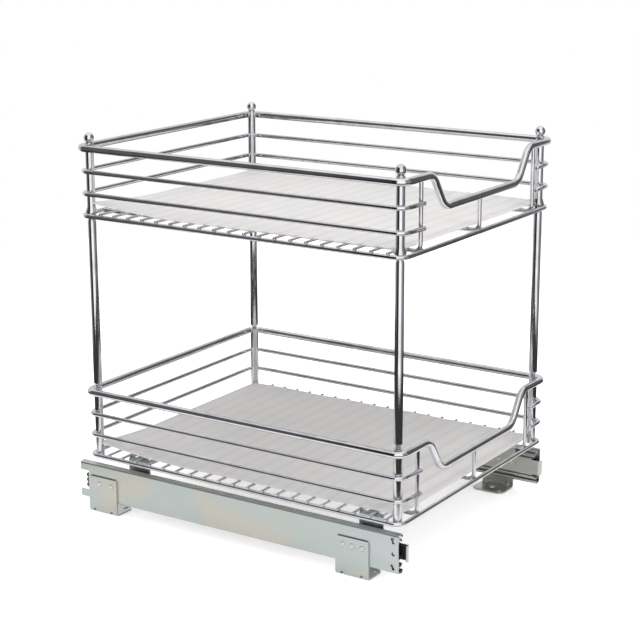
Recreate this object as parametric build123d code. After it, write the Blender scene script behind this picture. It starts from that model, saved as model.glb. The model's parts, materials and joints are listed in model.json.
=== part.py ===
from build123d import *
import os
from math import cos, radians, sin, sqrt, tan

# Two-tier wire organizer that pulls out of a cupboard on two telescopic ball slides.
# X runs across the width, +Y to the back of the cupboard, +Z up.
# The origin is on the cupboard floor, under the middle of the organizer.
# All sizes are in millimetres.
os.makedirs("parts", exist_ok=True)

# Driving sizes of the whole
post_span_x = 314.0          # between the post centres, across
post_span_y = 405.0          # between the post centres, front to back
tier_pitch = 285.0           # upper basket above the lower one
rim_rise = 77.0              # rim wire above a basket's bottom wire
mid_low_rise = 25.0
mid_high_rise = 50.5
dip_rise = 40.0              # middle of the front rim, let down for the hand
travel_shortfall = 41.5      # full pull-out of the baskets is less than the slides' length by this

# Wires and tubes
rim_wire_d = 7.0
mid_wire_d = 4.3
frame_wire_d = 4.8
long_wire_d = 4.6
cross_wire_d = 2.9
post_d = 9.6
corner_radius = 12.0         # of every wire that goes round a post
weld_gap = 0.1               # between wires that are welded where they cross
joint_gap = 0.05             # between faces that are screwed or pressed together
overcut = 2.0                # how far every cut runs past the faces that it opens

# Front rim's dip and the front's uprights
dip_top_inset = 48.5         # from the post centres, as the next two
dip_bottom_inset = 73.5
upright_inset = 30.0
dip_bend_radius = 20.0
upright_bend_radius = 7.4    # clears the bottom wire at the front
mid_end_set_out = 2.55       # side wires' ends, sprung out to pass in front of the uprights
mid_end_shortfall = 3.3      # side wires' ends short of the uprights' inner sides

# Cross wires and liner
cross_wire_count = 20
front_cross_inset = 8.5      # from the front posts to the first cross wire
rear_cross_inset = 21.25
liner_side_gap = 8.5         # from the liner's edge to the bottom wire's inner side, at each side
liner_end_gap = 6.0
liner_thickness = 1.2
liner_corner = 14.0

# Posts, legs and finials
foot_flare_d = 13.6
foot_flare_rise = 10.0
foot_flare_edge = 1.6
post_top_rise = 4.2          # post top above the rim's centreline
leg_top_d = 7.4
leg_top_taper = 4.5
leg_foot_d = 6.6
leg_foot_taper = 2.2
leg_gap = 3.4                # stud left bare between a lower post and its leg
stud_d = 5.2
stud_depth = 8.0             # stud's hold in the post or the leg
stud_clearance = 0.15
finial_base_d = 10.4
finial_base_height = 3.2
finial_base_chamfer = 1.0
finial_neck_d = 5.6
finial_neck_height = 1.4
finial_ball_d = 11.6

# Ball slides
slide_height = 45.0
slide_thickness = 12.7
slide_set_out = 10.6         # slide's outer face outboard of the post centres
slide_floor_gap = 14.0
slide_basket_gap = 7.6       # from the slides up to the lower basket's bottom wire
slide_front_reach = 14.0     # slide's front lip past the front posts' centres
slide_rear_reach = 22.5
rail_sheet = 1.0
rail_bend_radius = 1.4
ball_d = 4.8
ball_play = 0.2              # between a ball and each race
cage_sheet = 0.5
cage_gap = 0.2               # between a cage and the rail beside it
crest_bend_radius = 0.9      # middle rail's fold beside the outer balls
crest_run = 0.15
crest_angle = 230.0          # where the middle rail starts to cup an outer ball
saddle_angle = 282.0         # where it passes from the outer ball to the inner one
saddle_run = 0.4
outer_cup_angle = 125.0      # where the outer rail starts to cup an outer ball
cup_run = 0.6
inner_cup_angle = 300.0      # where the inner rail starts to cup an inner ball
inner_lip_angle = 195.0
inner_lip_run = 0.2
race_lip = 0.7               # straight lip beyond the outer and middle rails' races

# Lengths and end shapes of the slides' members
outer_front_setback = 6.2    # outer rail behind the slide's front end
web_rear_setback = 12.0
rear_web_height = 23.5       # height of the rear cut-back in the outer rail's web
middle_front_setback = 8.2
middle_rear_setback = 20.0
inner_front_setback = 11.5   # inner rail's rolled edges behind its bent lip
inner_rear_setback = 24.0
cage_length = 150.0
cage_end_margin = 5.0        # cage inside the members' overlap at full pull-out
balls_per_row = 3
ball_end_margin = 9.0
pocket_clearance = 0.15
pocket_hold = 1.2            # cage edge past a ball's centre
end_hole_d = 4.6
end_hole_inset = 6.5
latch_slot_rise = 14.8
latch_slot_width = 3.2
latch_slot_height = 6.5
latch_slot_toe = 4.6

# Front lip, latch and rear bumper
lip_height = 18.0
lip_turn = 5.2               # lip's tip turned towards the slide's outer side
lip_bend_radius = 2.6
latch_thickness = 3.4
latch_pivot_share = 0.87     # of the finger's height
latch_pivot_inset = 30.0     # latch pivot behind the lip
latch_nose_d = 7.0
latch_nose_inset = 7.0
latch_rise = 0.4             # finger's middle above the slide's
latch_finger_width = 3.2
latch_side_gap = 1.6         # from the finger to the bends of the inner rail
bumper_length = 12.0
bumper_height = 18.0
bumper_depth = 6.6
bumper_lobe_count = 3

# Floor feet
foot_sheet = 2.0
foot_width = 41.5
foot_height = 44.0
foot_reach = 31.9            # foot plate from its outer face inwards
foot_bend_radius = 2.4
foot_corner = 6.0
foot_plate_corner = 2.0
front_foot_inset = 62.7      # from the slide's front end to the middle of the front feet
rear_foot_inset = 34.3
floor_hole_d = 8.0
floor_hole_inset = 15.9      # from the foot's outer face
pilot_slot_width = 4.0
pilot_slot_length = 8.0
pilot_inset_x = 24.0
pilot_inset_y = 6.5          # from the foot's front edge
gusset_width = 4.0
gusset_reach = 4.6
gusset_share = 0.3           # of the foot's width, each side of its middle
gusset_dent = 4.4            # of the punch's mark, up and along from the foot's outer corner
gusset_dent_width = 3.0
rivet_rise = 35.0
rivet_shank_d = 4.0
rivet_clearance = 0.05
rivet_head_d = 6.4
rivet_head_height = 1.1
rivet_head_chamfer = 0.7
front_rivet_shares = (-0.31, 0.0, 0.28)
rear_rivet_shares = (-0.3, 0.12)

# Brackets between the inner rails and the lower basket
hanger_sheet = 2.0
hanger_width = 30.0
hanger_reach = 23.9          # flange inboard of the slide
hanger_foot_drop = 5.1       # web's lower edge below the slide's middle
hanger_bend_radius = 2.4
hanger_corner = 4.0
front_hanger_inset = 47.5    # from the slide's front end to the middle of the front brackets
rear_hanger_inset = 78.5
hanger_slot_width = 11.0
hanger_slot_length = 5.3
hanger_slot_inset = 9.0      # slot's middle from the slide's inner face
hanger_tab_height = 2.4
hanger_tab_sheet = 1.0
hanger_rivet_rise = 8.0      # rivets above the web's lower edge
hanger_rivet_share = 0.27    # of the bracket's width, each side of its middle

# Radii and levels that follow from the sizes above
rim_r = rim_wire_d / 2
mid_r = mid_wire_d / 2
frame_r = frame_wire_d / 2
long_r = long_wire_d / 2
cross_r = cross_wire_d / 2
post_r = post_d / 2
ball_r = ball_d / 2
post_x = post_span_x / 2
frame_height = slide_floor_gap + slide_height + slide_basket_gap + frame_r
upper_height = frame_height + tier_pitch
slide_face_x = post_x + slide_set_out
slide_length = post_span_y + slide_front_reach + slide_rear_reach
slide_front = -slide_length / 2
slide_rear = slide_length / 2
front_post_y = slide_front + slide_front_reach
rear_post_y = slide_rear - slide_rear_reach
slide_mid = slide_floor_gap + slide_height / 2
travel = slide_length - travel_shortfall
upright_x = post_x - upright_inset
dip_top_x = post_x - dip_top_inset
dip_bottom_x = post_x - dip_bottom_inset
front_foot_y = slide_front + front_foot_inset
rear_foot_y = slide_rear - rear_foot_inset
front_hanger_y = slide_front + front_hanger_inset
rear_hanger_y = slide_rear - rear_hanger_inset
first_cross_y = front_post_y + front_cross_inset
cross_wire_gap = (rear_post_y - rear_cross_inset - first_cross_y) / (cross_wire_count - 1)
cross_places = [first_cross_y + index * cross_wire_gap for index in range(cross_wire_count)]


def wire_reach(wire_r):
    """How far a wire's straight run lies outboard of a post that sits in its bend."""
    nest = post_r + wire_r + weld_gap
    return corner_radius - (corner_radius - nest) * cos(radians(45))


def swept_wire(path, wire_r):
    section = Plane(origin=path @ 0, z_dir=path % 0) * Circle(wire_r)
    return sweep(section, path=path)


# Baskets

def corner_box(wire_r):
    """Where a wire runs at the sides, in front and behind."""
    reach = wire_reach(wire_r)
    return post_x + reach, front_post_y - reach, rear_post_y + reach


def loop_wire(height, wire_r):
    """A closed wire round the four posts."""
    x, front, rear = corner_box(wire_r)
    corners = [(-x, rear, height), (x, rear, height), (x, front, height), (-x, front, height)]
    return swept_wire(FilletPolyline(*corners, radius=corner_radius, close=True), wire_r)


def rim_wire(base):
    """The rim, with its front run let down between two slants."""
    x, front, rear = corner_box(rim_r)
    top = base + rim_rise
    low = base + dip_rise
    corners = [
        (-x, rear, top),
        (x, rear, top),
        (x, front, top),
        (dip_top_x, front, top),
        (dip_bottom_x, front, low),
        (-dip_bottom_x, front, low),
        (-dip_top_x, front, top),
        (-x, front, top),
    ]
    round_post = [corner_radius] * 3
    dip = [dip_bend_radius] * 4
    path = FilletPolyline(*corners, radius=round_post + dip + [corner_radius], close=True)
    return swept_wire(path, rim_r)


def mid_wire(height):
    """An open wire that ends in front of the two outer uprights."""
    x, front, rear = corner_box(mid_r)
    end_x = upright_x - long_r + mid_end_shortfall
    end_y = front - mid_end_set_out
    corners = [
        (-end_x, end_y, height),
        (-x, front, height),
        (-x, rear, height),
        (x, rear, height),
        (x, front, height),
        (end_x, end_y, height),
    ]
    return swept_wire(FilletPolyline(*corners, radius=corner_radius), mid_r)


def cross_level(base):
    return base + frame_r + cross_r + weld_gap


def cross_wires(base):
    half = corner_box(frame_r)[0] + frame_r
    wires = []
    for wire_y in cross_places:
        place = Pos(-half, wire_y, cross_level(base))
        wires.append(place * Rot(0, 90, 0) * Cylinder(
            cross_r, 2 * half, align=(Align.CENTER, Align.CENTER, Align.MIN)))
    return Compound(children=wires)


upright_gap = mid_r + long_r + 2 * weld_gap


def long_wire(x, base, top):
    """A bottom wire that runs from the back over the front wire and turns up under the rim."""
    level = base + frame_r - long_r
    front = front_post_y - wire_reach(mid_r) - mid_end_set_out + upright_gap
    rear = rear_post_y + wire_reach(frame_r) - frame_r - weld_gap
    path = FilletPolyline((x, rear, level), (x, front, level), (x, front, top),
                          radius=upright_bend_radius)
    return swept_wire(path, long_r)


def long_wires(base):
    """The uprights end under the rim, the middle one under its dip."""
    side_top = base + rim_rise - rim_r - weld_gap
    middle_top = base + dip_rise - rim_r - weld_gap
    return Compound(children=[
        long_wire(-upright_x, base, side_top),
        long_wire(0, base, middle_top),
        long_wire(upright_x, base, side_top),
    ])


def liner(base):
    """The plastic sheet that lies on the cross wires."""
    x, front, rear = corner_box(frame_r)
    width = 2 * (x - frame_r - liner_side_gap - frame_wire_d)
    length = rear - front - 2 * (frame_r + liner_end_gap + frame_wire_d)
    level = cross_level(base) + cross_r + weld_gap
    outline = chamfer(Rectangle(width, length).vertices(), liner_corner)
    return Pos(0, (front + rear) / 2, level) * extrude(outline, liner_thickness)


def at_posts(shape):
    return Compound(children=[
        Pos(x, y, 0) * shape for x in (-post_x, post_x) for y in (front_post_y, rear_post_y)])


def stud_bore(level, direction):
    depth = stud_depth + stud_clearance
    start = level - depth if direction < 0 else level
    bore = Cylinder(stud_d / 2 + stud_clearance, depth + overcut,
                    align=(Align.CENTER, Align.CENTER, Align.MIN))
    return Pos(0, 0, start if direction < 0 else start - overcut) * bore


def lathed(points):
    """A turned piece from its half outline in the XZ plane."""
    return revolve(make_face(Plane.XZ * Polyline(*points, close=True)), Axis.Z)


post_foot = frame_height - frame_r
post_head = frame_height + rim_rise + post_top_rise


def lower_post():
    tube = lathed([(0, post_foot), (post_r, post_foot), (post_r, post_head), (0, post_head)])
    return tube - stud_bore(post_head, -1)


def upper_post():
    """The upper post flares out over the bend of the bottom wire."""
    foot = upper_height - frame_r
    head = upper_height + rim_rise + post_top_rise
    seat = upper_height + frame_r + weld_gap
    flare_r = foot_flare_d / 2
    tube = lathed([
        (0, foot),
        (post_r, foot),
        (post_r, seat),
        (flare_r, seat),
        (flare_r, seat + foot_flare_edge),
        (post_r, upper_height + foot_flare_rise),
        (post_r, head),
        (0, head),
    ])
    return tube - stud_bore(foot, 1)


leg_foot = post_head + leg_gap
leg_head = upper_height - frame_r - joint_gap


def leg():
    tube = lathed([
        (0, leg_foot),
        (leg_foot_d / 2, leg_foot),
        (post_r, leg_foot + leg_foot_taper),
        (post_r, leg_head - leg_top_taper),
        (leg_top_d / 2, leg_head),
        (0, leg_head),
    ])
    return tube - stud_bore(leg_foot, 1) - stud_bore(leg_head, -1)


def joining_studs():
    """The studs that screw the legs to the posts above and below them."""
    lower = Pos(0, 0, post_head - stud_depth) * Cylinder(
        stud_d / 2, 2 * stud_depth + leg_gap, align=(Align.CENTER, Align.CENTER, Align.MIN))
    upper = Pos(0, 0, leg_head - stud_depth) * Cylinder(
        stud_d / 2, 2 * stud_depth + joint_gap, align=(Align.CENTER, Align.CENTER, Align.MIN))
    return Compound(children=list(at_posts(lower).children) + list(at_posts(upper).children))


def finial():
    base = upper_height + rim_rise + post_top_rise + joint_gap
    shoulder = base + finial_base_height
    neck_r = finial_neck_d / 2
    ball_r_top = finial_ball_d / 2
    centre = shoulder + finial_neck_height + sqrt(ball_r_top ** 2 - neck_r ** 2)
    stem = lathed([
        (0, base),
        (finial_base_d / 2, base),
        (finial_base_d / 2, shoulder - finial_base_chamfer),
        (finial_base_d / 2 - finial_base_chamfer, shoulder),
        (neck_r, shoulder),
        (neck_r, centre),
        (0, centre),
    ])
    return stem + Pos(0, 0, centre) * Sphere(ball_r_top)


# Slide sections, drawn for the left slide from its outer face inwards

race_r = ball_r + ball_play + rail_sheet / 2
outer_web = rail_sheet / 2
middle_web = rail_sheet + 2 * cage_gap + cage_sheet + rail_sheet / 2
inner_web = slide_thickness - rail_sheet / 2
outer_cage_web = rail_sheet + cage_gap + cage_sheet / 2
inner_cage_web = middle_web + rail_sheet / 2 + cage_gap + cage_sheet / 2


def on_circle(centre, radius, angle):
    return (centre[0] + radius * cos(radians(angle)), centre[1] + radius * sin(radians(angle)))


def tangent_corner(centre, first, last):
    """The corner whose fillet runs round a ball's race from the first angle to the last."""
    reach = race_r / cos(radians((last - first) / 2))
    return on_circle(centre, reach, (first + last) / 2)


crest_length = crest_run + crest_bend_radius * tan(radians((360 - crest_angle) / 2))
outer_ball = (
    middle_web - crest_length * sin(radians(crest_angle)) - race_r * cos(radians(crest_angle)),
    slide_height / 2 - rail_sheet - ball_play - ball_r,
)
saddle_start = on_circle(outer_ball, 2 * race_r, saddle_angle)
inner_ball = (
    saddle_start[0] - saddle_run * sin(radians(saddle_angle)),
    saddle_start[1] + saddle_run * cos(radians(saddle_angle)),
)


def sheet_section(half, radii, thickness):
    """A rolled sheet's section: the upper half's corners, from the middle, and its mirror."""
    lower = [(u, -v) for u, v in reversed(half)]
    path = FilletPolyline(*(lower + half), radius=list(reversed(radii)) + radii)
    return trace(path, thickness)


def cup_knee(ball, angle):
    """The corner between a web and the straight run that leads into a ball's cup."""
    start = on_circle(ball, race_r, angle)
    return (start[0] - cup_run * sin(radians(angle)), start[1] + cup_run * cos(radians(angle)))


def outer_section():
    knee = cup_knee(outer_ball, outer_cup_angle)
    crown = tangent_corner(outer_ball, outer_cup_angle, 0)
    lip = (outer_ball[0] + race_r, outer_ball[1] - race_lip)
    half = [(outer_web, knee[1]), knee, crown, lip]
    return sheet_section(half, [rail_bend_radius, cup_run, race_r], rail_sheet)


def middle_section():
    start = on_circle(outer_ball, race_r, crest_angle)
    slope = tan(radians(crest_angle - 270))
    crest = (middle_web, start[1] + (middle_web - start[0]) * slope)
    groove = tangent_corner(outer_ball, crest_angle, saddle_angle)
    hump = tangent_corner(inner_ball, saddle_angle - 180, 0)
    lip = (inner_ball[0] + race_r, inner_ball[1] - race_lip)
    half = [crest, groove, hump, lip]
    return sheet_section(half, [crest_bend_radius, race_r, race_r], rail_sheet)


def inner_section():
    knee = cup_knee(inner_ball, inner_cup_angle)
    groove = tangent_corner(inner_ball, inner_cup_angle, inner_lip_angle)
    edge = on_circle(inner_ball, race_r, inner_lip_angle)
    lip = (edge[0] + inner_lip_run * sin(radians(inner_lip_angle)),
           edge[1] - inner_lip_run * cos(radians(inner_lip_angle)))
    half = [(inner_web, knee[1]), knee, groove, lip]
    return sheet_section(half, [rail_bend_radius, cup_run, race_r], rail_sheet)


def extruded(section, front, rear, level=slide_mid):
    """A section drawn in (across, up) becomes a rail or bracket from the front to the rear."""
    place = Plane(origin=(0, rear, level), x_dir=(1, 0, 0), z_dir=(0, -1, 0))
    return extrude(place * section, rear - front)


outer_front = slide_front + outer_front_setback
middle_front = slide_front + middle_front_setback
middle_rear = slide_rear - middle_rear_setback
inner_front = slide_front + inner_front_setback
inner_rear = slide_rear - inner_rear_setback
web_rear = slide_rear - web_rear_setback


def across(shape, start, end, y, level):
    """An outline drawn in (back, up) becomes a body that runs across, at a place on a slide."""
    place = Plane(origin=(start, y, level), x_dir=(0, 1, 0), z_dir=(1, 0, 0))
    return extrude(place * shape, end - start)


def through_web(shape, y, rise):
    return across(shape, -overcut, middle_web, y, slide_mid + rise)


def foot_rivet_places():
    """Where the rivets go through the feet and the outer rail."""
    front = [front_foot_y + share * foot_width for share in front_rivet_shares]
    rear = [rear_foot_y + share * foot_width for share in rear_rivet_shares]
    return front + rear


def hanger_rivet_places():
    step = hanger_rivet_share * hanger_width
    return [y + side * step for y in (front_hanger_y, rear_hanger_y) for side in (-1, 1)]


rivet_hole = Circle(rivet_shank_d / 2 + rivet_clearance)


def outer_rail():
    rail = extruded(outer_section(), outer_front, slide_rear)
    tail = Rectangle(web_rear_setback + overcut, rear_web_height)
    rail -= through_web(tail, web_rear + (web_rear_setback + overcut) / 2, 0)
    hole_y = outer_front + end_hole_inset
    rail -= through_web(Circle(end_hole_d / 2), hole_y, 0)
    slot = Rectangle(latch_slot_width, latch_slot_height)
    toe = Pos((latch_slot_toe - latch_slot_width) / 2, (latch_slot_height - latch_slot_width) / 2) \
        * Rectangle(latch_slot_toe, latch_slot_width)
    for rise in (-latch_slot_rise, latch_slot_rise):
        rail -= through_web(slot + toe, hole_y, rise)
    for y in foot_rivet_places():
        rail -= through_web(rivet_hole, y, rivet_rise - slide_mid)
    return rail


def middle_rail():
    return extruded(middle_section(), middle_front, middle_rear)


def inner_rail():
    """The rail that carries the basket, with its web run out into a bent lip at the front."""
    rail = extruded(inner_section(), inner_front, inner_rear)
    tip_y = slide_front + rail_sheet / 2
    path = FilletPolyline((inner_web, inner_front + overcut), (inner_web, tip_y),
                          (inner_web - lip_turn, tip_y), radius=lip_bend_radius)
    lip = trace(path, rail_sheet)
    rail += Pos(0, 0, slide_mid - lip_height / 2) * extrude(lip, lip_height)
    for y in hanger_rivet_places():
        rail -= across(rivet_hole, inner_web - overcut, inner_web + overcut, y, hanger_rivet_level)
    return rail


def ball_places(front):
    step = (cage_length - 2 * ball_end_margin) / (balls_per_row - 1)
    return [front + ball_end_margin + index * step for index in range(balls_per_row)]


def cage(web, ball, front):
    """A folded strip with pockets for a row of balls above the middle and one below."""
    edge = ball[0] + pocket_hold
    section = sheet_section([(web, ball[1]), (edge, ball[1])], [rail_bend_radius], cage_sheet)
    strip = extruded(section, front, front + cage_length)
    for y in ball_places(front):
        strip -= Pos(ball[0], y, slide_mid) * Cylinder(ball_r + pocket_clearance, slide_height)
    return strip


def ball_rows(ball, front):
    return Compound(children=[
        Pos(ball[0], y, slide_mid + side * ball[1]) * Sphere(ball_r)
        for y in ball_places(front) for side in (1, -1)])


# At full pull-out a cage still lies inside both of the members that it runs between.
outer_cage_front = outer_front + cage_end_margin + travel / 4
inner_cage_front = middle_front + cage_end_margin + travel / 4


def front_latch():
    """The plastic catch on the inner rail's hidden side, with its finger behind the lip."""
    face = inner_web - rail_sheet / 2 - joint_gap
    flat_half = cup_knee(inner_ball, inner_cup_angle)[1] - rail_bend_radius
    finger_height = 2 * (flat_half - latch_side_gap)
    span = latch_pivot_inset - latch_nose_inset
    nose_rise = latch_rise + (finger_height - latch_nose_d) / 2
    nose = Pos(-span, nose_rise) * Circle(latch_nose_d / 2)
    pivot = Circle(latch_pivot_share * finger_height / 2)
    lever = make_hull((pivot + nose).edges())
    finger_y = -span - (latch_nose_d - latch_finger_width) / 2
    finger = Pos(finger_y, latch_rise) * RectangleRounded(
        latch_finger_width, finger_height, latch_finger_width / 2 - weld_gap)
    pivot_y = slide_front + latch_pivot_inset
    return across(lever + finger, face - latch_thickness, face, pivot_y, slide_mid)


def rear_bumper():
    """The lobed plastic stop that fills the cut-back at the back of the outer rail."""
    lobe_r = bumper_height / bumper_lobe_count / 2
    body = Rectangle(bumper_length - lobe_r, bumper_height)
    outline = Pos(-lobe_r / 2, 0) * body
    for index in range(bumper_lobe_count):
        rise = (index - (bumper_lobe_count - 1) / 2) * 2 * lobe_r
        outline += Pos(bumper_length / 2 - lobe_r, rise) * Circle(lobe_r)
    start = rail_sheet + joint_gap
    middle_y = middle_rear + ball_play + bumper_length / 2
    return across(outline, start, start + bumper_depth, middle_y, slide_mid)


def bracket(outline, radius, sheet, y, width):
    """A bent sheet bracket from its outline in (across, up)."""
    section = trace(FilletPolyline(*outline, radius=radius), sheet)
    return extruded(section, y - width / 2, y + width / 2, 0)


def foot(y):
    face = -joint_gap - foot_sheet / 2
    inner_end = face - foot_sheet / 2 + foot_reach
    outline = [(face, foot_height), (face, foot_sheet / 2), (inner_end, foot_sheet / 2)]
    plate = bracket(outline, foot_bend_radius, foot_sheet, y, foot_width)
    floor_corners = plate.edges().filter_by(Axis.Z).group_by(Axis.X)[-1]
    plate = chamfer(floor_corners, foot_corner)
    top_corners = plate.edges().filter_by(Axis.X).group_by(Axis.Z)[-1]
    plate = chamfer(top_corners, foot_plate_corner)
    outer = face - foot_sheet / 2
    plate -= Pos(outer + floor_hole_inset, y, 0) * Cylinder(floor_hole_d / 2, 2 * overcut + foot_sheet)
    slot = SlotOverall(pilot_slot_length, pilot_slot_width)
    slot_y = y - foot_width / 2 + pilot_inset_y
    plate -= Pos(outer + pilot_inset_x, slot_y, -overcut) * extrude(slot, 2 * overcut + foot_sheet)
    corner_x = outer + foot_sheet
    rib = Plane.XZ * Polyline((corner_x - overcut / 2, foot_sheet - overcut / 2),
                              (corner_x + gusset_reach, foot_sheet - joint_gap),
                              (corner_x - joint_gap, foot_sheet + gusset_reach), close=True)
    dent = Plane.XZ * Polyline((outer - overcut, gusset_dent + overcut), (outer - overcut, -overcut),
                               (outer + gusset_dent + overcut, -overcut), close=True)
    for side in (-1, 1):
        middle_y = y + side * gusset_share * foot_width
        plate += Pos(0, middle_y + gusset_width / 2, 0) * extrude(make_face(rib), gusset_width)
        plate -= Pos(0, middle_y + gusset_dent_width / 2, 0) * extrude(make_face(dent), gusset_dent_width)
    for place in foot_rivet_places():
        if abs(place - y) < foot_width / 2:
            plate -= across(rivet_hole, face - overcut, face + overcut, place, rivet_rise)
    return plate


def rivet(head_face, end, y, level):
    """A rivet with its head on one side and its shank's end flush with the other."""
    side = 1 if end > head_face else -1
    shank = Cylinder(rivet_shank_d / 2, abs(end - head_face),
                     align=(Align.CENTER, Align.CENTER, Align.MIN))
    head = Cylinder(rivet_head_d / 2, rivet_head_height,
                    align=(Align.CENTER, Align.CENTER, Align.MAX))
    head = chamfer(head.edges().group_by(Axis.Z)[0], rivet_head_chamfer)
    return Pos(head_face, y, level) * Rot(0, 90 * side, 0) * (shank + head)


def foot_rivets():
    head_face = -2 * joint_gap - foot_sheet
    end = rail_sheet - joint_gap
    return Compound(children=[rivet(head_face, end, y, rivet_rise) for y in foot_rivet_places()])


hanger_top = cross_level(frame_height) - cross_r - weld_gap
hanger_foot = slide_mid - hanger_foot_drop
hanger_rivet_level = hanger_foot + hanger_rivet_rise


def hanger(y):
    """The bracket on an inner rail's inner face that the basket's cross wires rest on."""
    face = slide_thickness + joint_gap + hanger_sheet / 2
    level = hanger_top - hanger_sheet / 2
    inner_end = slide_thickness + hanger_reach
    outline = [(face, hanger_foot), (face, level), (inner_end, level)]
    plate = bracket(outline, hanger_bend_radius, hanger_sheet, y, hanger_width)
    plate = chamfer(plate.edges().filter_by(Axis.X).group_by(Axis.Z)[0], hanger_corner)
    slot = Box(hanger_slot_width, hanger_slot_length, 2 * overcut + hanger_sheet)
    tab = Box(hanger_slot_width, hanger_tab_sheet, hanger_tab_height + hanger_sheet,
              align=(Align.CENTER, Align.MAX, Align.MIN))
    middle = slide_thickness + hanger_slot_inset
    for wire_y in cross_places:
        front = wire_y - cross_r - weld_gap
        if abs(front - y) < hanger_width / 2:
            plate -= Pos(middle, front - hanger_slot_length / 2 - hanger_tab_sheet, level) * slot
            plate += Pos(middle, front, hanger_top - hanger_sheet) * tab
    for place in hanger_rivet_places():
        if abs(place - y) < hanger_width / 2:
            plate -= across(rivet_hole, face - overcut, face + overcut, place, hanger_rivet_level)
    return plate


def hanger_rivets():
    head_face = slide_thickness + 2 * joint_gap + hanger_sheet
    end = slide_thickness - rail_sheet + joint_gap
    return Compound(children=[
        rivet(head_face, end, y, hanger_rivet_level) for y in hanger_rivet_places()])


def mirrored(shape):
    return mirror(shape, about=Plane.YZ)


def on_left(shape):
    return Pos(-slide_face_x, 0, 0) * shape


def write(node, shape):
    export_step(shape, f"parts/{node}.step")


def write_pair(node, shape):
    left = on_left(shape)
    write(f"{node}_left", left)
    write(f"{node}_right", mirrored(left))


write_pair("outer_rail", outer_rail())
write_pair("middle_rail", middle_rail())
write_pair("inner_rail", inner_rail())
write_pair("outer_cage", cage(outer_cage_web, outer_ball, outer_cage_front))
write_pair("inner_cage", cage(inner_cage_web, inner_ball, inner_cage_front))
write_pair("outer_balls", ball_rows(outer_ball, outer_cage_front))
write_pair("inner_balls", ball_rows(inner_ball, inner_cage_front))
write_pair("front_latch", front_latch())
write_pair("rear_bumper", rear_bumper())
write_pair("front_foot", foot(front_foot_y))
write_pair("rear_foot", foot(rear_foot_y))
write_pair("foot_rivets", foot_rivets())
write_pair("front_hanger", hanger(front_hanger_y))
write_pair("rear_hanger", hanger(rear_hanger_y))
write_pair("hanger_rivets", hanger_rivets())

for tier, base in (("lower", frame_height), ("upper", upper_height)):
    write(f"{tier}_rim", rim_wire(base))
    write(f"{tier}_mid_wire_low", mid_wire(base + mid_low_rise))
    write(f"{tier}_mid_wire_high", mid_wire(base + mid_high_rise))
    write(f"{tier}_frame", loop_wire(base, frame_r))
    write(f"{tier}_cross_wires", cross_wires(base))
    write(f"{tier}_long_wires", long_wires(base))
    write(f"{tier}_liner", liner(base))
write("lower_posts", at_posts(lower_post()))
write("upper_posts", at_posts(upper_post()))
write("legs", at_posts(leg()))
write("joining_studs", joining_studs())
write("finials", at_posts(finial()))
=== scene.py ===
import bpy
import bmesh
from math import atan2, cos, pi, radians, sqrt
from mathutils import Matrix, Vector
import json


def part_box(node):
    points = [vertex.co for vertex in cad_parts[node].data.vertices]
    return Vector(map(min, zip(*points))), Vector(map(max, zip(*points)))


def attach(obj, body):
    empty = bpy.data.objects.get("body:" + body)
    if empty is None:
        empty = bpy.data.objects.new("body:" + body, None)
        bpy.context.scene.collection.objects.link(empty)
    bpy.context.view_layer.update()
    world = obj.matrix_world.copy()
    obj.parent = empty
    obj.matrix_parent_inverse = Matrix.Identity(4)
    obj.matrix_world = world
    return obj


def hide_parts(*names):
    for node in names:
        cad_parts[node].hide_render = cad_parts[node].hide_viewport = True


# Pull-out under sink organizer: chrome wire baskets on zinc plated ball slides.
# Everything is in metres, +Z up, and the baskets pull out towards -Y.

mm = 0.001
smoothAngle = radians(40)    # edges that turn less than this are shaded smooth

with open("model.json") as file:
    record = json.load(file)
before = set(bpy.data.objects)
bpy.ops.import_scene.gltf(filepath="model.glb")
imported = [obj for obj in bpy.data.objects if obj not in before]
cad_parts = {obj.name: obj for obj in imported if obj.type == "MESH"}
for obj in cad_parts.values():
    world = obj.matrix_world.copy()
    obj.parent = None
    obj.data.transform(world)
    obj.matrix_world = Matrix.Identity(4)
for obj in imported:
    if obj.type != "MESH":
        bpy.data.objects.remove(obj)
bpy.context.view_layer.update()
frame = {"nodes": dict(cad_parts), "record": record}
nodes = frame["nodes"]
bpy.ops.object.select_all(action="DESELECT")
print("frame loaded:", len(nodes), "nodes")

sides = ("left", "right")
tiers = ("lower", "upper")


# Colours and nodes

def linearColor(hexCode, alpha=1.0):    # sRGB to linear
    shares = [int(hexCode[place:place + 2], 16) / 255 for place in (1, 3, 5)]
    linear = [share / 12.92 if share < 0.04045 else ((share + 0.055) / 1.055) ** 2.4 for share in shares]
    return linear + [alpha]


def addNode(tree, kind, values=None, links=None, **settings):
    node = tree.nodes.new(kind)
    for name, value in settings.items():
        setattr(node, name, value)
    for socket, value in (values or {}).items():
        node.inputs[socket].default_value = value
    for socket, source in (links or {}).items():
        tree.links.new(source, node.inputs[socket])
    return node


def startMaterial(name):
    mat = bpy.data.materials.new(name)
    mat.use_nodes = True
    tree = mat.node_tree
    tree.nodes.clear()
    out = addNode(tree, "ShaderNodeOutputMaterial")
    shader = addNode(tree, "ShaderNodeBsdfPrincipled")
    tree.links.new(shader.outputs["BSDF"], out.inputs["Surface"])
    place = addNode(tree, "ShaderNodeTexCoord")
    return mat, tree, shader, place.outputs["Object"]


def setRamp(ramp, stops):
    band = ramp.color_ramp
    while len(band.elements) < len(stops):
        band.elements.new(0.5)
    for element, (position, color) in zip(band.elements, stops):
        element.position = position
        element.color = color


def grey(level):
    return [level, level, level, 1.0]


# Radii of the solids' wires and the number of cross wires, as in the part, and places read from the frame
wireSpec = {"longR": 2.3 * mm, "rimR": 3.5 * mm, "postR": 4.8 * mm, "crossCount": 20}


def middle(node, axis):
    low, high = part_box(node)
    return (low[axis] + high[axis]) / 2


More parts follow.
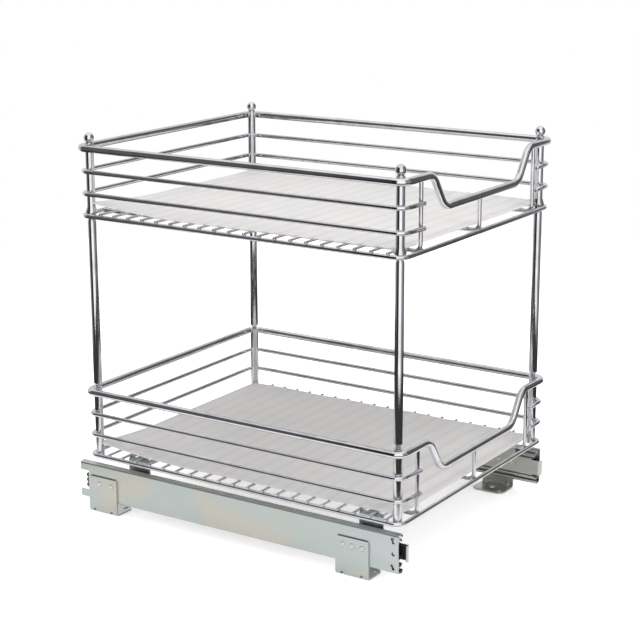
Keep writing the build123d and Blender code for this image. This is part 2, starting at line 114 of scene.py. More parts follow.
def radiusOf(node):    # of a wire that lies level
    low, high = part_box(node)
    return (high.z - low.z) / 2


def levelOf(tier, wire):    # the height of a wire's middle line at the posts
    if wire == "rim":
        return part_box(f"{tier}_rim")[1].z - wireSpec["rimR"]
    return middle(f"{tier}_{wire}", 2)


def postPlaces():
    low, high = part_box("legs")
    reach = wireSpec["postR"]
    return [Vector((x, y, 0.0))
            for x in (low.x + reach, high.x - reach) for y in (low.y + reach, high.y - reach)]


def crossRows(tier):    # the middles of the wires across the bottom, front to back
    low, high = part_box(f"{tier}_cross_wires")
    wireR = radiusOf(f"{tier}_cross_wires")
    step = (high.y - low.y - 2 * wireR) / (wireSpec["crossCount"] - 1)
    return [low.y + wireR + index * step for index in range(wireSpec["crossCount"])]


# Materials

# Bright nickel and chrome plate on drawn steel wire. The plate is mirror smooth, a touch blue,
# with faint orange peel from the polishing and hazy patches where the racks were handled.
chromeSpec = {
    "tint": "#dadbe0", "haze": "#c9c8c6",
    "roughClear": 0.05, "roughHaze": 0.12,
    "hazeSize": 22 * mm, "hazeReach": (0.45, 0.7),
    "peelSize": 2.4 * mm, "peelHeight": 0.018 * mm,
}


def chromePlate():
    spec = chromeSpec
    mat, tree, shader, place = startMaterial("chromePlatedSteel")
    haze = addNode(tree, "ShaderNodeTexNoise", {"Scale": 1 / spec["hazeSize"], "Detail": 3.0},
                   {"Vector": place})
    mask = addNode(tree, "ShaderNodeMapRange",
                   {"From Min": spec["hazeReach"][0], "From Max": spec["hazeReach"][1]},
                   {"Value": haze.outputs["Fac"]})
    tint = addNode(tree, "ShaderNodeMix", {"A": linearColor(spec["tint"]), "B": linearColor(spec["haze"])},
                   {"Factor": mask.outputs["Result"]}, data_type="RGBA")
    rough = addNode(tree, "ShaderNodeMapRange", {"To Min": spec["roughClear"], "To Max": spec["roughHaze"]},
                    {"Value": mask.outputs["Result"]})
    peel = addNode(tree, "ShaderNodeTexNoise", {"Scale": 1 / spec["peelSize"], "Detail": 1.0},
                   {"Vector": place})
    bump = addNode(tree, "ShaderNodeBump", {"Strength": 1.0, "Distance": spec["peelHeight"]},
                   {"Height": peel.outputs["Fac"]})
    shader.inputs["Metallic"].default_value = 1.0
    tree.links.new(tint.outputs["Result"], shader.inputs["Base Color"])
    tree.links.new(rough.outputs["Result"], shader.inputs["Roughness"])
    tree.links.new(bump.outputs["Normal"], shader.inputs["Normal"])
    return mat


# Electroplated zinc with a clear blue passivate on cold rolled strip. The eye sees a pale blue grey
# that drifts to straw and faint violet, over rolling lines that run along the strip. The real lines are
# finer; these are drawn coarse enough to show.
zincSpec = {
    "name": "zincPlatedStrip", "blue": "#c1c9c7", "straw": "#cdcac0", "violet": "#c8c9cc",
    "driftSize": 60 * mm, "driftStretch": 0.5, "driftStops": (0.30, 0.44, 0.52, 0.68),
    "lineSize": 0.9 * mm, "lineStretch": 0.02, "lineHeight": 0.006 * mm,
    "speckSize": 1.6 * mm, "grainReach": (0.12, 0.42),
    "roughLow": 0.28, "roughHigh": 0.36,
}
# Rivets are plated the same, but their heads were spun bright when they were set
rivetSpec = dict(zincSpec, name="zincPlatedRivet", driftSize=8 * mm, roughLow=0.10, roughHigh=0.18)


def zincPlate(spec):
    mat, tree, shader, place = startMaterial(spec["name"])
    along = addNode(tree, "ShaderNodeMapping", {"Scale": (1.0, spec["driftStretch"], 1.0)},
                    {"Vector": place})
    drift = addNode(tree, "ShaderNodeTexNoise",
                    {"Scale": 1 / spec["driftSize"], "Detail": 2.0, "Distortion": 0.6},
                    {"Vector": along.outputs["Vector"]})
    tint = addNode(tree, "ShaderNodeValToRGB", None, {"Fac": drift.outputs["Fac"]})
    shades = [linearColor(spec[shade]) for shade in ("violet", "blue", "blue", "straw")]
    setRamp(tint, list(zip(spec["driftStops"], shades)))
    rolled = addNode(tree, "ShaderNodeMapping", {"Scale": (1.0, spec["lineStretch"], 1.0)},
                     {"Vector": place})
    lines = addNode(tree, "ShaderNodeTexNoise", {"Scale": 1 / spec["lineSize"], "Detail": 3.0},
                    {"Vector": rolled.outputs["Vector"]})
    specks = addNode(tree, "ShaderNodeTexNoise", {"Scale": 1 / spec["speckSize"], "Detail": 4.0},
                     {"Vector": place})
    grain = addNode(tree, "ShaderNodeMath", None,
                    {0: lines.outputs["Fac"], 1: specks.outputs["Fac"]}, operation="MULTIPLY")
    rough = addNode(tree, "ShaderNodeMapRange",
                    {"From Min": spec["grainReach"][0], "From Max": spec["grainReach"][1],
                     "To Min": spec["roughLow"], "To Max": spec["roughHigh"]},
                    {"Value": grain.outputs["Value"]})
    bump = addNode(tree, "ShaderNodeBump", {"Strength": 1.0, "Distance": spec["lineHeight"]},
                   {"Height": lines.outputs["Fac"]})
    shader.inputs["Metallic"].default_value = 1.0
    tree.links.new(tint.outputs["Color"], shader.inputs["Base Color"])
    tree.links.new(rough.outputs["Result"], shader.inputs["Roughness"])
    tree.links.new(bump.outputs["Normal"], shader.inputs["Normal"])
    return mat


# Acetal, moulded in a spark eroded tool: deep black, with a fine even grain that breaks up the shine.
acetalSpec = {
    "color": "#141416", "worn": "#2a2a2c",
    "grainSize": 0.5 * mm, "grainHeight": 0.03 * mm, "roughness": 0.48,
}


def blackAcetal():
    spec = acetalSpec
    mat, tree, shader, place = startMaterial("mouldedBlackAcetal")
    grain = addNode(tree, "ShaderNodeTexNoise", {"Scale": 1 / spec["grainSize"], "Detail": 2.0},
                    {"Vector": place})
    tint = addNode(tree, "ShaderNodeMix", {"A": linearColor(spec["color"]), "B": linearColor(spec["worn"])},
                   {"Factor": grain.outputs["Fac"]}, data_type="RGBA")
    bump = addNode(tree, "ShaderNodeBump", {"Strength": 1.0, "Distance": spec["grainHeight"]},
                   {"Height": grain.outputs["Fac"]})
    shader.inputs["Roughness"].default_value = spec["roughness"]
    tree.links.new(tint.outputs["Result"], shader.inputs["Base Color"])
    tree.links.new(bump.outputs["Normal"], shader.inputs["Normal"])
    return mat


# Extruded polypropylene sheet with a frosted face: milky and lit through from below. The cross wires that it
# lies on are painted into its colour as painted shade: faint darker lines along each wire.
sheetSpec = {
    "clear": "#faf8f7", "milky": "#f2f0f0", "cloudSize": 60 * mm, "litThrough": 0.40,
    # painted shade of the wires under the sheet: its colour, its greatest share, and its reach from each
    # wire's middle
    "paintedWireShade": "#a3a3aa", "paintedWireShadeShare": 0.09, "paintedWireShadeReach": (1.0 * mm, 3.4 * mm),
    "frostSize": 0.8 * mm, "frostHeight": 0.05 * mm,
    "roughness": 0.40, "transmission": 0.12, "ior": 1.49,
}


def frostedSheet():
    spec = sheetSpec
    mat, tree, shader, place = startMaterial("frostedPolypropylene")
    cloud = addNode(tree, "ShaderNodeTexNoise", {"Scale": 1 / spec["cloudSize"], "Detail": 2.0},
                    {"Vector": place})
    cloudy = addNode(tree, "ShaderNodeMix",
                     {"A": linearColor(spec["clear"]), "B": linearColor(spec["milky"])},
                     {"Factor": cloud.outputs["Fac"]}, data_type="RGBA")
    # Painted shade: darker lines along the lower tier's cross wire rows, used on both tiers and mixed into
    # the sheet's colour
    rows = crossRows("lower")
    axes = addNode(tree, "ShaderNodeSeparateXYZ", None, {0: place})
    offset = addNode(tree, "ShaderNodeMath", {1: rows[0]}, {0: axes.outputs["Y"]}, operation="SUBTRACT")
    gap = addNode(tree, "ShaderNodeMath", {1: (rows[1] - rows[0]) / 2}, {0: offset.outputs["Value"]},
                  operation="PINGPONG")
    wires = addNode(tree, "ShaderNodeMapRange",
                    {"From Min": spec["paintedWireShadeReach"][0], "From Max": spec["paintedWireShadeReach"][1],
                     "To Min": spec["paintedWireShadeShare"], "To Max": 0.0}, {"Value": gap.outputs["Value"]})
    tint = addNode(tree, "ShaderNodeMix", {"B": linearColor(spec["paintedWireShade"])},
                   {"A": cloudy.outputs["Result"], "Factor": wires.outputs["Result"]}, data_type="RGBA")
    frost = addNode(tree, "ShaderNodeTexNoise", {"Scale": 1 / spec["frostSize"], "Detail": 2.0},
                    {"Vector": place})
    bump = addNode(tree, "ShaderNodeBump", {"Strength": 1.0, "Distance": spec["frostHeight"]},
                   {"Height": frost.outputs["Fac"]})
    shader.inputs["Roughness"].default_value = spec["roughness"]
    shader.inputs["IOR"].default_value = spec["ior"]
    shader.inputs["Transmission Weight"].default_value = spec["transmission"]
    tree.links.new(tint.outputs["Result"], shader.inputs["Base Color"])
    tree.links.new(bump.outputs["Normal"], shader.inputs["Normal"])
    through = addNode(tree, "ShaderNodeBsdfTranslucent", None, {"Color": tint.outputs["Result"]})
    both = addNode(tree, "ShaderNodeMixShader", {0: spec["litThrough"]},
                   {1: shader.outputs["BSDF"], 2: through.outputs["BSDF"]})
    tree.links.new(both.outputs["Shader"], tree.nodes["Material Output"].inputs["Surface"])
    return mat


# Hardened ball steel, ground and lapped, under a film of grease that softens its mirror in patches.
ballSpec = {
    "steel": "#cfd0d0", "grease": "#b9b49c", "filmSize": 3 * mm, "roughLow": 0.08, "roughHigh": 0.25,
}


def lappedSteel():
    spec = ballSpec
    mat, tree, shader, place = startMaterial("lappedBallSteel")
    film = addNode(tree, "ShaderNodeTexNoise", {"Scale": 1 / spec["filmSize"], "Detail": 2.0},
                   {"Vector": place})
    tint = addNode(tree, "ShaderNodeMix", {"A": linearColor(spec["steel"]), "B": linearColor(spec["grease"])},
                   {"Factor": film.outputs["Fac"]}, data_type="RGBA")
    rough = addNode(tree, "ShaderNodeMapRange", {"To Min": spec["roughLow"], "To Max": spec["roughHigh"]},
                    {"Value": film.outputs["Fac"]})
    shader.inputs["Metallic"].default_value = 1.0
    tree.links.new(tint.outputs["Result"], shader.inputs["Base Color"])
    tree.links.new(rough.outputs["Result"], shader.inputs["Roughness"])
    return mat


finishes = {
    "chrome_wire": chromePlate(),
    "zinc_plate": zincPlate(zincSpec),
    "black_plastic": blackAcetal(),
    "frosted_liner": frostedSheet(),
    "bearing_balls": lappedSteel(),
}
for entry in frame["record"]["subparts"]:
    carried = nodes[entry["node"]]
    carried.data.materials.clear()
    carried.data.materials.append(finishes[entry["material_slot"]])
spunZinc = zincPlate(rivetSpec)
for side in sides:
    for rivets in (f"foot_rivets_{side}", f"hanger_rivets_{side}"):
        nodes[rivets].data.materials[0] = spunZinc
print("finishes set on the frame")


# Making pieces

def finishPiece(piece, name, body, slot):
    piece.name = name
    bpy.ops.object.select_all(action="DESELECT")
    piece.select_set(True)
    bpy.context.view_layer.objects.active = piece
    bpy.ops.object.transform_apply(location=True, rotation=True, scale=True)
    bpy.ops.object.shade_smooth_by_angle(angle=smoothAngle)
    piece.data.materials.clear()
    piece.data.materials.append(finishes[slot])
    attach(piece, body)
    bpy.ops.object.select_all(action="DESELECT")
    return piece


def copyAt(pattern, place):
    twin = pattern.copy()
    twin.data = pattern.data.copy()
    twin.matrix_world = place @ pattern.matrix_world
    bpy.context.collection.objects.link(twin)
    return twin


def joinAll(pieces):
    bpy.ops.object.select_all(action="DESELECT")
    for piece in pieces:
        piece.select_set(True)
    bpy.context.view_layer.objects.active = pieces[0]
    bpy.ops.object.join()
    return bpy.context.active_object


def joinCopies(pattern, places):
    twins = [copyAt(pattern, place) for place in places]
    bpy.data.objects.remove(pattern)
    return joinAll(twins)


# Weld beads: resistance welds leave a small squeezed saddle where two wires cross
beadSpec = {"segments": 10, "rings": 6, "waist": 0.82, "waistBand": 0.05, "ripple": 0.05 * mm, "seed": 3}


def weldBead(width, depth, height):
    spec = beadSpec
    bpy.ops.mesh.primitive_uv_sphere_add(segments=spec["segments"], ring_count=spec["rings"], radius=0.5)
    bead = bpy.context.active_object
    bead.scale = (width, depth, height)
    bpy.ops.object.transform_apply(scale=True)
    bpy.ops.object.mode_set(mode="EDIT")
    bm = bmesh.from_edit_mesh(bead.data)
    for vert in bm.verts:
        vert.select = abs(vert.co.z) < height * spec["waistBand"]
    bm.select_flush(True)
    bmesh.update_edit_mesh(bead.data)
    bpy.ops.transform.resize(value=(spec["waist"], spec["waist"], 1.0))
    bpy.ops.mesh.select_all(action="SELECT")
    bpy.ops.transform.vertex_random(offset=spec["ripple"], seed=spec["seed"])
    bpy.ops.object.mode_set(mode="OBJECT")
    return bead


def crossWeldPlaces(tier):
    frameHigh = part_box(f"{tier}_frame")[1]
    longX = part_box(f"{tier}_long_wires")[1].x - wireSpec["longR"]
    sideX = frameHigh.x - radiusOf(f"{tier}_frame")
    level = (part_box(f"{tier}_cross_wires")[0].z + frameHigh.z) / 2
    return [Vector((x, y, level)) for y in crossRows(tier) for x in (-sideX, -longX, 0.0, longX, sideX)]


crossBeadSpec = {"width": 3.8 * mm, "depth": 3.7 * mm, "height": 1.4 * mm}


def addCrossWelds(tier):
    spec = crossBeadSpec
    bead = weldBead(spec["width"], spec["depth"], spec["height"])
    welds = joinCopies(bead, [Matrix.Translation(place) for place in crossWeldPlaces(tier)])
    return finishPiece(welds, f"{tier}_cross_welds", "baskets", "chrome_wire")


# Cross wire ends: cropped in the press, which leaves them domed
domeSpec = {"rise": 0.8 * mm, "segments": 12, "rings": 8}


def addWireEnds(tier):
    spec = domeSpec
    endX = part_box(f"{tier}_cross_wires")[1].x
    wireR = radiusOf(f"{tier}_cross_wires")
    bpy.ops.mesh.primitive_uv_sphere_add(segments=spec["segments"], ring_count=spec["rings"], radius=wireR)
    dome = bpy.context.active_object
    dome.scale = (spec["rise"] / wireR, 1.0, 1.0)
    bpy.ops.object.transform_apply(scale=True)
    bpy.ops.object.mode_set(mode="EDIT")
    bpy.ops.mesh.select_all(action="SELECT")
    bpy.ops.mesh.bisect(plane_co=(0.0, 0.0, 0.0), plane_no=(1.0, 0.0, 0.0), use_fill=True, clear_inner=True)
    bpy.ops.object.mode_set(mode="OBJECT")
    level = middle(f"{tier}_cross_wires", 2)
    places = []
    for y in crossRows(tier):
        places.append(Matrix.Translation((endX, y, level)))
        places.append(Matrix.Translation((-endX, y, level)) @ Matrix.Rotation(pi, 4, "Z"))
    return finishPiece(joinCopies(dome, places), f"{tier}_wire_ends", "baskets", "chrome_wire")


# Post welds: the wires are brazed to each post on the outer side, which leaves a small fillet. Each share
# is the bead's length and height, as a multiple of the wire's own thickness.
postBeadSpec = {
    "depth": 2.0 * mm,
    "shares": {
        "rim": (1.5, 0.75), "mid_wire_low": (1.7, 0.8), "mid_wire_high": (1.7, 0.8), "frame": (1.6, 0.8),
    },
}


def addPostWelds(tier):
    spec = postBeadSpec
    beads = []
    centreY = middle("legs", 1)
    for wire, (along, tall) in spec["shares"].items():
        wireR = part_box(f"{tier}_{wire}")[1].z - levelOf(tier, wire)
        bead = weldBead(spec["depth"], 2 * along * wireR, 2 * tall * wireR)
        places = []
        for post in postPlaces():
            outX = 1.0 if post.x > 0.0 else -1.0
            outY = 1.0 if post.y > centreY else -1.0
            out = Vector((outX, outY, 0.0)).normalized()
            spot = post + out * wireSpec["postR"]
            spot.z = levelOf(tier, wire)
            places.append(Matrix.Translation(spot) @ Matrix.Rotation(atan2(out.y, out.x), 4, "Z"))
        beads.append(joinCopies(bead, places))
    return finishPiece(joinAll(beads), f"{tier}_post_welds", "baskets", "chrome_wire")


# Upright welds: where the side wires and the front of the bottom frame meet the uprights
uprightBeadSpec = {"width": 3.6 * mm, "depth": 1.6 * mm, "height": 3.4 * mm}


def addUprightWelds(tier):
    spec = uprightBeadSpec
    low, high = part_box(f"{tier}_long_wires")
    outerX = high.x - wireSpec["longR"]
    faceY = low.y
    levels = [levelOf(tier, "mid_wire_low"), levelOf(tier, "mid_wire_high")]
    frameLevel = middle(f"{tier}_frame", 2) + wireSpec["longR"]
    bead = weldBead(spec["width"], spec["depth"], spec["height"])
    places = [Matrix.Translation((x, faceY, level)) for x in (-outerX, outerX) for level in levels]
    places += [Matrix.Translation((x, faceY, frameLevel)) for x in (-outerX, 0.0, outerX)]
    return finishPiece(joinCopies(bead, places), f"{tier}_upright_welds", "baskets", "chrome_wire")


# Finials: turned steel, a ball on a waist over a cap as wide as the post. They replace the solids' finials,
# whose balls stand about 3 mm higher than the photograph's. The turning gives radius and height in
# millimetres, from the ball down.
finialSpec = {
    "ballR": 5.9 * mm, "centreRise": 6.6 * mm, "segments": 40, "rings": 20, "sink": 0.05 * mm,
    "turning": [(3.75, 1.9), (3.65, 1.55), (4.3, 1.2), (4.75, 0.85), (4.85, 0.6), (4.85, 0.05)],
}


def addFinials():
    spec = finialSpec
    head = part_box("finials")[0].z - spec["sink"]
    bpy.ops.mesh.primitive_uv_sphere_add(segments=spec["segments"], ring_count=spec["rings"],
                                         radius=spec["ballR"], location=(0.0, 0.0, spec["centreRise"]))
    ball = bpy.context.active_object
    bpy.ops.object.transform_apply(location=True)
    bpy.ops.object.mode_set(mode="EDIT")
    bpy.ops.mesh.select_all(action="SELECT")
    rise = spec["turning"][0][1] * mm    # the ball is cut off at the waist
    bpy.ops.mesh.bisect(plane_co=(0.0, 0.0, rise), plane_no=(0.0, 0.0, 1.0), clear_inner=True)
    radius = sqrt(spec["ballR"] ** 2 - (spec["centreRise"] - rise) ** 2)
    for nextR, nextRise in spec["turning"]:
        bpy.ops.mesh.extrude_region_move(TRANSFORM_OT_translate={"value": (0.0, 0.0, nextRise * mm - rise)})
        bpy.ops.transform.resize(value=(nextR * mm / radius, nextR * mm / radius, 1.0))
        radius, rise = nextR * mm, nextRise * mm
    bpy.ops.mesh.edge_face_add()
    bpy.ops.mesh.select_all(action="SELECT")
    bpy.ops.mesh.normals_make_consistent(inside=False)
    bpy.ops.object.mode_set(mode="OBJECT")
    lift = Vector((0.0, 0.0, head))
    finials = joinCopies(ball, [Matrix.Translation(post + lift) for post in postPlaces()])
    finishPiece(finials, "turned_finials", "baskets", "chrome_wire")
    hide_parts("finials")


# Stud threads: rolled threads on the four studs that show between the lower posts and the legs
threadSpec = {
    "pitch": 0.85 * mm, "turns": 4, "coreR": 2.55 * mm, "crestR": 3.0 * mm, "steps": 24,
    "flank": 0.42,    # half the ridge's foot, as a share of the pitch
    "mergeWithin": 0.001 * mm,
}


def addStudThreads():
    spec = threadSpec
    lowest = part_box("lower_posts")[1].z
    bpy.ops.mesh.primitive_circle_add(vertices=3, radius=spec["pitch"] / 2, rotation=(radians(90), 0.0, 0.0))
    ridge = bpy.context.active_object
    bpy.ops.object.transform_apply(rotation=True)
    foot = spec["flank"] * spec["pitch"]
    profile = ((spec["coreR"], -foot), (spec["crestR"], 0.0), (spec["coreR"], foot))
    upwards = sorted(ridge.data.vertices, key=lambda vert: vert.co.z)
    for vert, (radius, rise) in zip(upwards, profile):
        vert.co = (radius, 0.0, rise)
    screw = ridge.modifiers.new("thread", "SCREW")
    screw.screw_offset = spec["pitch"]
    screw.iterations = spec["turns"]
    screw.steps = screw.render_steps = spec["steps"]
    bpy.ops.object.modifier_apply(modifier="thread")
    bpy.ops.object.mode_set(mode="EDIT")
    bpy.ops.mesh.select_all(action="SELECT")
    bpy.ops.mesh.remove_doubles(threshold=spec["mergeWithin"])
    bpy.ops.mesh.fill_holes(sides=3)
    bpy.ops.mesh.normals_make_consistent(inside=False)
    bpy.ops.object.mode_set(mode="OBJECT")
    start = Vector((0.0, 0.0, lowest))
    threads = joinCopies(ridge, [Matrix.Translation(post + start) for post in postPlaces()])
    return finishPiece(threads, "stud_threads", "baskets", "zinc_plate")


# Liners: loose sheets that have taken a curl from the roll, most at the back left corner. They lie a little
# askew, reach past the flat solids that they replace, and sag between the cross wires.
linerSpec = {
    "cellsX": 60, "cellsY": 160,
    "toLeft": 4.0 * mm, "toRight": 4.0 * mm, "spread": 4.0 * mm, "skew": 7.0 * mm,
    "cornerLift": 8.4 * mm, "cornerReach": 120 * mm, "cornerPower": 1.6,
    "sideLift": 0.4 * mm, "rightLift": 1.2 * mm, "sideReach": 34 * mm, "sidePower": 2,
    "sag": 0.22 * mm, "wave": 0.35 * mm, "waveLength": 95 * mm,
    "cornerRound": 9 * mm, "edgeRound": 0.25 * mm, "edgeSteps": 2, "edgeAngle": radians(60),
}


def curlHeight(spec, fromLeft, fromRight, fromBack):
    left = max(0.0, 1.0 - fromLeft / spec["sideReach"]) ** spec["sidePower"] * spec["sideLift"]
    right = max(0.0, 1.0 - fromRight / spec["sideReach"]) ** spec["sidePower"] * spec["rightLift"]
    fromCorner = fromLeft + fromBack
    corner = max(0.0, 1.0 - fromCorner / spec["cornerReach"]) ** spec["cornerPower"] * spec["cornerLift"]
    return left + right + corner


def addLiner(tier):
    spec = linerSpec
    low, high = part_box(f"{tier}_liner")
    centreY = middle(f"{tier}_liner", 1)
    left, right = low.x - spec["toLeft"], high.x + spec["toRight"]
    width = right - left
    length = high.y - low.y + 2 * spec["spread"]
    bpy.ops.mesh.primitive_grid_add(x_subdivisions=spec["cellsX"], y_subdivisions=spec["cellsY"], size=1.0,
                                    location=((left + right) / 2, centreY, low.z))
    sheet = bpy.context.active_object
    sheet.scale = (width, length, 1.0)
    bpy.ops.object.transform_apply(location=True, scale=True)
    front, back = centreY - length / 2, centreY + length / 2
    turn = spec["cornerRound"]
    rows = crossRows(tier)
    for vert in sheet.data.vertices:
        x, y, z = vert.co
        overX = max(x - (right - turn), (left + turn) - x, 0.0)
        overY = max(y - (back - turn), (front + turn) - y, 0.0)
        if overX > 0.0 and overY > 0.0:    # rounds the sheet's corners
            shrink = max(overX, overY) / sqrt(overX ** 2 + overY ** 2)
            x += (shrink - 1.0) * overX * (1.0 if x > 0 else -1.0)
            y += (shrink - 1.0) * overY * (1.0 if y > centreY else -1.0)
        z += curlHeight(spec, x - left, right - x, back - y)
        x -= spec["skew"] * (y - front) / length * (right - x) / width
        z += spec["wave"] * (1.0 - cos(2 * pi * y / spec["waveLength"])) * (x - left) / width
        z += spec["sag"] * (1.0 + cos(2 * pi * (y - rows[0]) / (rows[1] - rows[0]))) / 2
        vert.co = (x, y, z)
    solid = sheet.modifiers.new("gauge", "SOLIDIFY")
    solid.thickness = high.z - low.z
    solid.offset = 1.0
    edge = sheet.modifiers.new("edge", "BEVEL")
    edge.width = spec["edgeRound"]
    edge.segments = spec["edgeSteps"]
    edge.limit_method = "ANGLE"
    edge.angle_limit = spec["edgeAngle"]
    for modifier in ("gauge", "edge"):
        bpy.ops.object.modifier_apply(modifier=modifier)
    finishPiece(sheet, f"{tier}_curled_liner", "baskets", "frosted_liner")
    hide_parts(f"{tier}_liner")


# Thicker wires: in the photograph the rims, side wires and bottom frames read thicker than their solids do.
# That was found after the solids were made, so only these visible copies grow, by the radius given here. It
# keeps them inside the solids' box.
thickerSpec = {
    "growth": {"rim": 0.6 * mm, "mid_wire_low": 0.3 * mm, "mid_wire_high": 0.3 * mm, "frame": 0.15 * mm},
    "mergeWithin": 0.002 * mm,    # the solids' meshes come as loose triangles
}


def addThickerWires(tier):
    spec = thickerSpec
    for wire, growth in spec["growth"].items():
        node = f"{tier}_{wire}"
        thick = bpy.data.objects.new(f"{node}_thicker", nodes[node].data.copy())
        bpy.context.collection.objects.link(thick)
        bpy.context.view_layer.objects.active = thick
        thick.select_set(True)
        bpy.ops.object.mode_set(mode="EDIT")
        bpy.ops.mesh.select_all(action="SELECT")
        bpy.ops.mesh.remove_doubles(threshold=spec["mergeWithin"])
        bpy.ops.transform.shrink_fatten(value=growth, use_even_offset=True)
        bpy.ops.object.mode_set(mode="OBJECT")
        finishPiece(thick, f"{node}_thicker", "baskets", "chrome_wire")
        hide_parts(node)


for tier in tiers:
    addThickerWires(tier)
    addCrossWelds(tier)
    addWireEnds(tier)
    addPostWelds(tier)
    addUprightWelds(tier)
    addLiner(tier)
print("thicker wires, welds and liners added")
addFinials()
addStudThreads()
print("finials and threads added")


# Camera, from the photograph: where it aims, how it is turned and how far off it stands
cameraSpec = {
    "aim": (1.7 * mm, -6.55 * mm, 224.6 * mm), "yaw": 33.2, "pitch": 14.69, "roll": -0.162,
    "distance": 1957.6 * mm, "focalPixels": 1681.0, "imagePixels": 640.0, "sensor": 36.0,
    "clipNear": 0.05, "clipFar": 50.0,
}


def addCamera():
    spec = cameraSpec
    data = bpy.data.cameras.new("productCamera")
    data.sensor_width = spec["sensor"]
    data.lens = spec["focalPixels"] * spec["sensor"] / spec["imagePixels"]
    data.clip_start = spec["clipNear"]
    data.clip_end = spec["clipFar"]
    camera = bpy.data.objects.new("productCamera", data)
    bpy.context.collection.objects.link(camera)
    turn = (Matrix.Rotation(radians(spec["yaw"] - 90), 4, "Z")
            @ Matrix.Rotation(radians(90 - spec["pitch"]), 4, "X")
            @ Matrix.Rotation(radians(spec["roll"]), 4, "Z"))
    back = turn @ Vector((0.0, 0.0, spec["distance"]))
    camera.matrix_world = Matrix.Translation(Vector(spec["aim"]) + back) @ turn
    bpy.context.scene.camera = camera


# Studio: a white sweep on the floor, soft lamps overhead and at the sides, and a room for the metal
# to mirror. Angles are in degrees, counted from +X towards +Y, and levels are shares of white.
# In the metal the sweep is white near the baskets and dark further out, up to where the walls take over.
floorSpec = {
    "radius": 1.6, "sides": 96, "drop": 0.2 * mm, "color": "#f7f7f7",
    "glow": 0.45, "nearLift": 0.06, "farLevel": 0.05, "nearReach": (0.43, 0.52), "farReach": (0.90, 1.0),
}
softboxAim = Vector((0.0, 0.0, 0.2))
softboxes = [
    {"name": "topSoftbox", "at": (-0.2, -0.3, 2.2), "size": (2.2, 2.2), "power": 19.0},
    {"name": "leftSoftbox", "at": (-2.1, 0.5, 0.9), "size": (0.8, 1.7), "power": 14.0},
    {"name": "frontSoftbox", "at": (0.5, -2.2, 0.9), "size": (0.6, 1.6), "power": 12.0},
]
roomSpec = {
    "walls": [
        (-180, 0.02), (-174, 0.02), (-167, 1.35), (-112, 1.35), (-104, 0.36), (-68, 0.34), (-58, 0.13),
        (-20, 0.13), (-8, 0.80), (98, 0.80), (114, 0.14), (148, 0.12), (156, 0.02), (180, 0.02),
    ],
    "ceilingFrom": 0.70, "ceilingTo": 0.84, "ceiling": 1.15, "diffuse": 0.75,
}


def roomLevel(tree, way):    # walls by their angle, and a white ceiling
    axes = addNode(tree, "ShaderNodeSeparateXYZ", None, {0: way})
    angle = addNode(tree, "ShaderNodeMath", None, {0: axes.outputs["Y"], 1: axes.outputs["X"]},
                    operation="ARCTAN2")
    turn = addNode(tree, "ShaderNodeMapRange", {"From Min": -pi, "From Max": pi},
                   {"Value": angle.outputs["Value"]})
    walls = addNode(tree, "ShaderNodeValToRGB", None, {"Fac": turn.outputs["Result"]})
    setRamp(walls, [((degree + 180) / 360, grey(level)) for degree, level in roomSpec["walls"]])
    up = addNode(tree, "ShaderNodeMapRange",
                 {"From Min": roomSpec["ceilingFrom"], "From Max": roomSpec["ceilingTo"]},
                 {"Value": axes.outputs["Z"]})
    return addNode(tree, "ShaderNodeMix", {"B": grey(roomSpec["ceiling"])},
                   {"Factor": up.outputs["Result"], "A": walls.outputs["Color"]}, data_type="RGBA")


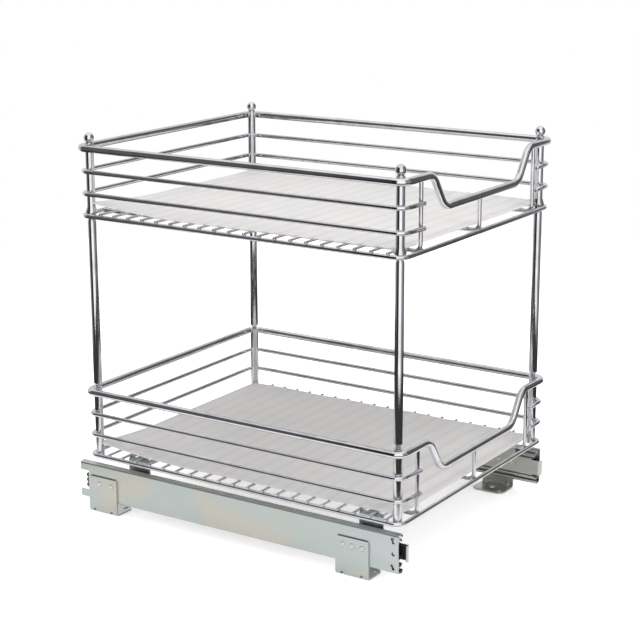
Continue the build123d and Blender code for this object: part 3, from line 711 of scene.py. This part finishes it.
def addFloor():
    spec = floorSpec
    bpy.ops.mesh.primitive_circle_add(vertices=spec["sides"], radius=spec["radius"], fill_type="NGON",
                                      location=(0.0, 0.0, -spec["drop"]))
    floor = bpy.context.active_object
    floor.name = "studioFloor"
    mat = bpy.data.materials.new("paintedSweep")
    mat.use_nodes = True
    tree = mat.node_tree
    tree.nodes.clear()
    out = addNode(tree, "ShaderNodeOutputMaterial")
    place = addNode(tree, "ShaderNodeTexCoord")
    away = addNode(tree, "ShaderNodeVectorMath", None, {0: place.outputs["Object"]}, operation="LENGTH")
    rays = addNode(tree, "ShaderNodeLightPath")
    paint = addNode(tree, "ShaderNodeBsdfDiffuse", {"Color": linearColor(spec["color"])})
    glow = addNode(tree, "ShaderNodeEmission", {"Color": grey(1.0)})
    strength = addNode(tree, "ShaderNodeMath", {1: spec["glow"]}, {0: rays.outputs["Is Camera Ray"]},
                       operation="MULTIPLY")
    tree.links.new(strength.outputs["Value"], glow.inputs["Strength"])
    seen = addNode(tree, "ShaderNodeAddShader", None,
                   {0: paint.outputs["BSDF"], 1: glow.outputs["Emission"]})
    lift = addNode(tree, "ShaderNodeEmission", {"Color": grey(1.0), "Strength": spec["nearLift"]})
    near = addNode(tree, "ShaderNodeAddShader", None,
                   {0: paint.outputs["BSDF"], 1: lift.outputs["Emission"]})
    far = addNode(tree, "ShaderNodeEmission", {"Color": grey(1.0), "Strength": spec["farLevel"]})
    beyond = addNode(tree, "ShaderNodeBsdfTransparent")
    edges = [addNode(tree, "ShaderNodeMapRange", {"From Min": start, "From Max": end},
                     {"Value": away.outputs["Value"]})
             for start, end in (spec["nearReach"], spec["farReach"])]
    inner = addNode(tree, "ShaderNodeMixShader", None,
                    {0: edges[0].outputs["Result"], 1: near.outputs["Shader"], 2: far.outputs["Emission"]})
    mirrored = addNode(tree, "ShaderNodeMixShader", None,
                       {0: edges[1].outputs["Result"], 1: inner.outputs["Shader"], 2: beyond.outputs["BSDF"]})
    both = addNode(tree, "ShaderNodeMixShader", None,
                   {0: rays.outputs["Is Glossy Ray"],
                    1: seen.outputs["Shader"], 2: mirrored.outputs["Shader"]})
    tree.links.new(both.outputs["Shader"], out.inputs["Surface"])
    floor.data.materials.append(mat)


def addSoftbox(spec):
    data = bpy.data.lights.new(spec["name"], "AREA")
    data.shape = "RECTANGLE"
    data.size, data.size_y = spec["size"]
    data.energy = spec["power"]
    lamp = bpy.data.objects.new(spec["name"], data)
    bpy.context.collection.objects.link(lamp)
    lamp.visible_glossy = False    # the metal mirrors the room instead
    lamp.location = spec["at"]
    lamp.rotation_euler = (softboxAim - lamp.location).to_track_quat("-Z", "Y").to_euler()


def addWorld():
    world = bpy.data.worlds.new("studioRoom")
    bpy.context.scene.world = world
    world.use_nodes = True
    tree = world.node_tree
    tree.nodes.clear()
    out = addNode(tree, "ShaderNodeOutputWorld")
    way = addNode(tree, "ShaderNodeTexCoord")
    room = roomLevel(tree, way.outputs["Generated"])
    rays = addNode(tree, "ShaderNodeLightPath")
    lit = addNode(tree, "ShaderNodeMix", {"A": grey(roomSpec["diffuse"])},
                  {"Factor": rays.outputs["Is Glossy Ray"], "B": room.outputs["Result"]}, data_type="RGBA")
    seen = addNode(tree, "ShaderNodeMix", {"B": grey(1.0)},
                   {"Factor": rays.outputs["Is Camera Ray"], "A": lit.outputs["Result"]}, data_type="RGBA")
    glow = addNode(tree, "ShaderNodeBackground", None, {"Color": seen.outputs["Result"]})
    tree.links.new(glow.outputs["Background"], out.inputs["Surface"])


addCamera()
addFloor()
for spec in softboxes:
    addSoftbox(spec)
addWorld()
bpy.context.scene.view_settings.view_transform = "Standard"
print("studio ready")
